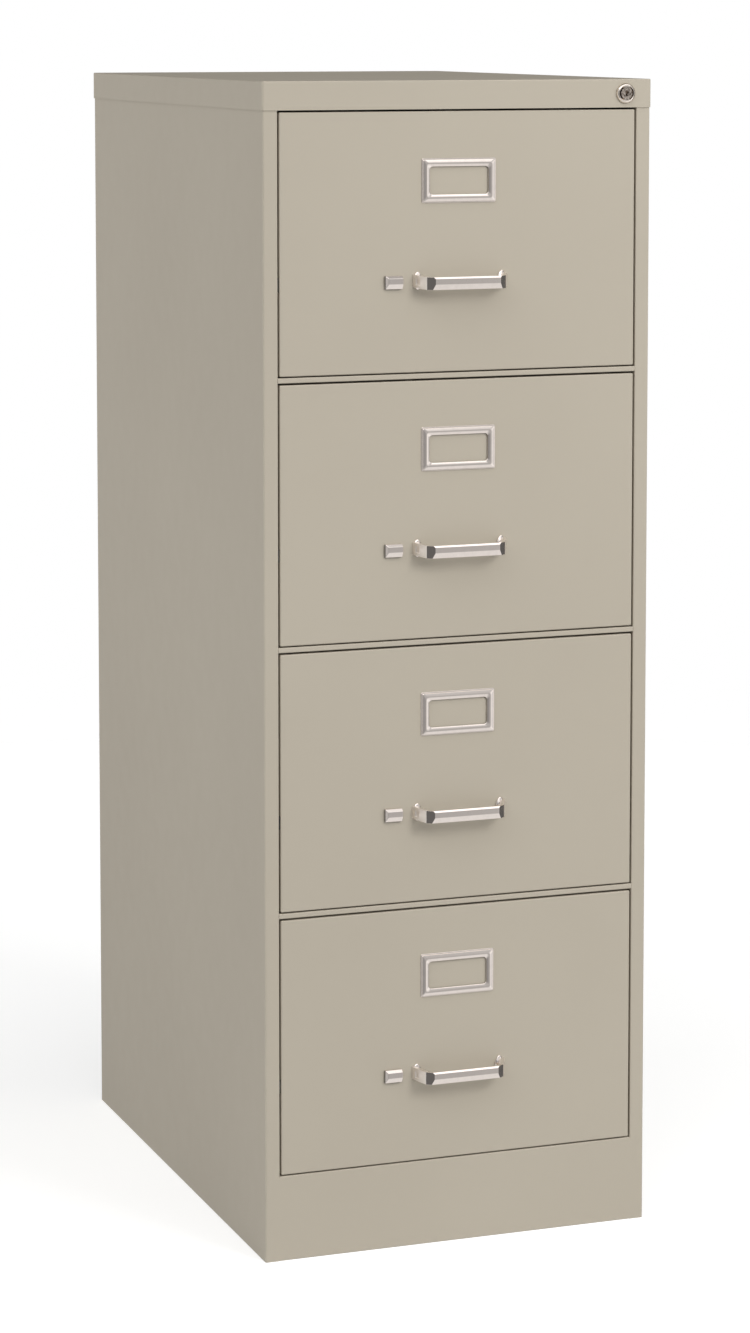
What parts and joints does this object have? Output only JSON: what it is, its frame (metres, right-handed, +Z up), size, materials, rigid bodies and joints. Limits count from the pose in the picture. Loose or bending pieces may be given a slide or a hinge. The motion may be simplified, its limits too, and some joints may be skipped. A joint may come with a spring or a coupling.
{
  "type": "vertical_file_cabinet",
  "caption": "Tall narrow painted steel file cabinet with stacked deep drawers, chrome arch handles, label frames and thumb latches, and one lock in the top cap",
  "frame": {"origin": "on the floor, in the middle of the closed cabinet's box with its handles", "axes": "+Z up, the drawers open towards -Y, +X to the right of someone who faces the drawers"},
  "size_m": [0.4636, 0.6991, 1.3208],
  "materials": {
    "case_paint": "smooth semi-gloss baked enamel, warm putty grey",
    "bright_chrome": "polished chrome plate",
    "satin_nickel": "satin nickel plate, slightly worn",
    "plated_steel": "bright zinc plate",
    "roller_nylon": "moulded natural nylon"
  },
  "bodies": {
    "root": {"left_side_panel": "case_paint", "right_side_panel": "case_paint", "back_panel": "case_paint", "top_cap": "case_paint", "base_front": "case_paint", "base_rear_rail": "case_paint", "cross_rails": "case_paint", "uprights": "plated_steel", "corner_gussets": "plated_steel", "levelling_glides": "plated_steel", "left_case_channels": "plated_steel", "right_case_channels": "plated_steel", "lock_housing": "bright_chrome"},
    "lock_plug": {"lock_plug": "satin_nickel", "lock_crank": "plated_steel"},
    "lock_bar": {"lock_bar": "plated_steel"},
    "drawer_1": {"drawer_front_1": "case_paint", "drawer_tray_1": "case_paint", "drawer_rails_1": "plated_steel", "handle_1": "bright_chrome", "label_holder_1": "bright_chrome", "latch_spring_1": "plated_steel"},
    "cradle_1": {"cradle_1": "plated_steel"},
    "front_rollers_1": {"rollers_front_1": "roller_nylon"},
    "rear_rollers_1": {"rollers_rear_1": "roller_nylon"},
    "latch_1": {"thumb_latch_1": "bright_chrome"},
    "follower_1": {"follower_1": "case_paint"},
    "drawer_2": {"drawer_front_2": "case_paint", "drawer_tray_2": "case_paint", "drawer_rails_2": "plated_steel", "handle_2": "bright_chrome", "label_holder_2": "bright_chrome", "latch_spring_2": "plated_steel"},
    "cradle_2": {"cradle_2": "plated_steel"},
    "front_rollers_2": {"rollers_front_2": "roller_nylon"},
    "rear_rollers_2": {"rollers_rear_2": "roller_nylon"},
    "latch_2": {"thumb_latch_2": "bright_chrome"},
    "follower_2": {"follower_2": "case_paint"},
    "drawer_3": {"drawer_front_3": "case_paint", "drawer_tray_3": "case_paint", "drawer_rails_3": "plated_steel", "handle_3": "bright_chrome", "label_holder_3": "bright_chrome", "latch_spring_3": "plated_steel"},
    "cradle_3": {"cradle_3": "plated_steel"},
    "front_rollers_3": {"rollers_front_3": "roller_nylon"},
    "rear_rollers_3": {"rollers_rear_3": "roller_nylon"},
    "latch_3": {"thumb_latch_3": "bright_chrome"},
    "follower_3": {"follower_3": "case_paint"},
    "drawer_4": {"drawer_front_4": "case_paint", "drawer_tray_4": "case_paint", "drawer_rails_4": "plated_steel", "handle_4": "bright_chrome", "label_holder_4": "bright_chrome", "latch_spring_4": "plated_steel"},
    "cradle_4": {"cradle_4": "plated_steel"},
    "front_rollers_4": {"rollers_front_4": "roller_nylon"},
    "rear_rollers_4": {"rollers_rear_4": "roller_nylon"},
    "latch_4": {"thumb_latch_4": "bright_chrome"},
    "follower_4": {"follower_4": "case_paint"}
  },
  "joints": [
    {"name": "drawer_1_slide", "type": "slide", "parent": "root", "child": "drawer_1", "axis": [0, -1, 0], "range_m": [0, 0.6]},
    {"name": "cradle_1_slide", "type": "slide", "parent": "root", "child": "cradle_1", "axis": [0, -1, 0], "range_m": [0, 0.301]},
    {"name": "front_rollers_1_spin", "type": "hinge", "parent": "cradle_1", "child": "front_rollers_1", "pos_m": [0, -0.26655, 1.0292], "axis": [1, 0, 0], "range_deg": [-5, 1570]},
    {"name": "rear_rollers_1_spin", "type": "hinge", "parent": "cradle_1", "child": "rear_rollers_1", "pos_m": [0, 0.26545, 1.0292], "axis": [1, 0, 0], "range_deg": [-5, 1570]},
    {"name": "latch_1_slide", "type": "slide", "parent": "drawer_1", "child": "latch_1", "axis": [1, 0, 0], "range_m": [0, 0.007], "stiffness_N_per_m": 300, "springref_m": -0.01, "deforming": ["latch_spring_1"]},
    {"name": "follower_1_slide", "type": "slide", "parent": "drawer_1", "child": "follower_1", "axis": [0, -1, 0], "range_m": [0, 0.5]},
    {"name": "drawer_2_slide", "type": "slide", "parent": "root", "child": "drawer_2", "axis": [0, -1, 0], "range_m": [0, 0.6]},
    {"name": "cradle_2_slide", "type": "slide", "parent": "root", "child": "cradle_2", "axis": [0, -1, 0], "range_m": [0, 0.301]},
    {"name": "front_rollers_2_spin", "type": "hinge", "parent": "cradle_2", "child": "front_rollers_2", "pos_m": [0, -0.26655, 0.7298], "axis": [1, 0, 0], "range_deg": [-5, 1570]},
    {"name": "rear_rollers_2_spin", "type": "hinge", "parent": "cradle_2", "child": "rear_rollers_2", "pos_m": [0, 0.26545, 0.7298], "axis": [1, 0, 0], "range_deg": [-5, 1570]},
    {"name": "latch_2_slide", "type": "slide", "parent": "drawer_2", "child": "latch_2", "axis": [1, 0, 0], "range_m": [0, 0.007], "stiffness_N_per_m": 300, "springref_m": -0.01, "deforming": ["latch_spring_2"]},
    {"name": "follower_2_slide", "type": "slide", "parent": "drawer_2", "child": "follower_2", "axis": [0, -1, 0], "range_m": [0, 0.5]},
    {"name": "drawer_3_slide", "type": "slide", "parent": "root", "child": "drawer_3", "axis": [0, -1, 0], "range_m": [0, 0.6]},
    {"name": "cradle_3_slide", "type": "slide", "parent": "root", "child": "cradle_3", "axis": [0, -1, 0], "range_m": [0, 0.301]},
    {"name": "front_rollers_3_spin", "type": "hinge", "parent": "cradle_3", "child": "front_rollers_3", "pos_m": [0, -0.26655, 0.4304], "axis": [1, 0, 0], "range_deg": [-5, 1570]},
    {"name": "rear_rollers_3_spin", "type": "hinge", "parent": "cradle_3", "child": "rear_rollers_3", "pos_m": [0, 0.26545, 0.4304], "axis": [1, 0, 0], "range_deg": [-5, 1570]},
    {"name": "latch_3_slide", "type": "slide", "parent": "drawer_3", "child": "latch_3", "axis": [1, 0, 0], "range_m": [0, 0.007], "stiffness_N_per_m": 300, "springref_m": -0.01, "deforming": ["latch_spring_3"]},
    {"name": "follower_3_slide", "type": "slide", "parent": "drawer_3", "child": "follower_3", "axis": [0, -1, 0], "range_m": [0, 0.5]},
    {"name": "drawer_4_slide", "type": "slide", "parent": "root", "child": "drawer_4", "axis": [0, -1, 0], "range_m": [0, 0.6]},
    {"name": "cradle_4_slide", "type": "slide", "parent": "root", "child": "cradle_4", "axis": [0, -1, 0], "range_m": [0, 0.301]},
    {"name": "front_rollers_4_spin", "type": "hinge", "parent": "cradle_4", "child": "front_rollers_4", "pos_m": [0, -0.26655, 0.131], "axis": [1, 0, 0], "range_deg": [-5, 1570]},
    {"name": "rear_rollers_4_spin", "type": "hinge", "parent": "cradle_4", "child": "rear_rollers_4", "pos_m": [0, 0.26545, 0.131], "axis": [1, 0, 0], "range_deg": [-5, 1570]},
    {"name": "latch_4_slide", "type": "slide", "parent": "drawer_4", "child": "latch_4", "axis": [1, 0, 0], "range_m": [0, 0.007], "stiffness_N_per_m": 300, "springref_m": -0.01, "deforming": ["latch_spring_4"]},
    {"name": "follower_4_slide", "type": "slide", "parent": "drawer_4", "child": "follower_4", "axis": [0, -1, 0], "range_m": [0, 0.5]},
    {"name": "lock_plug_turn", "type": "hinge", "parent": "root", "child": "lock_plug", "pos_m": [0.2, -0.32255, 1.3048], "axis": [0, 1, 0], "range_deg": [0, 90.5]},
    {"name": "lock_bar_drop", "type": "slide", "parent": "root", "child": "lock_bar", "axis": [0, 0, -1], "range_m": [0, 0.008]}
  ],
  "couplings": [
    {"joint": "cradle_1_slide", "follows": "drawer_1_slide", "ratio": 0.5},
    {"joint": "front_rollers_1_spin", "follows": "drawer_1_slide", "rad_per_m": 45.455},
    {"joint": "rear_rollers_1_spin", "follows": "drawer_1_slide", "rad_per_m": 45.455},
    {"joint": "cradle_2_slide", "follows": "drawer_2_slide", "ratio": 0.5},
    {"joint": "front_rollers_2_spin", "follows": "drawer_2_slide", "rad_per_m": 45.455},
    {"joint": "rear_rollers_2_spin", "follows": "drawer_2_slide", "rad_per_m": 45.455},
    {"joint": "cradle_3_slide", "follows": "drawer_3_slide", "ratio": 0.5},
    {"joint": "front_rollers_3_spin", "follows": "drawer_3_slide", "rad_per_m": 45.455},
    {"joint": "rear_rollers_3_spin", "follows": "drawer_3_slide", "rad_per_m": 45.455},
    {"joint": "cradle_4_slide", "follows": "drawer_4_slide", "ratio": 0.5},
    {"joint": "front_rollers_4_spin", "follows": "drawer_4_slide", "rad_per_m": 45.455},
    {"joint": "rear_rollers_4_spin", "follows": "drawer_4_slide", "rad_per_m": 45.455},
    {"joint": "lock_plug_turn", "follows": "lock_bar_drop", "rad_per_m": 196.35}
  ]
}
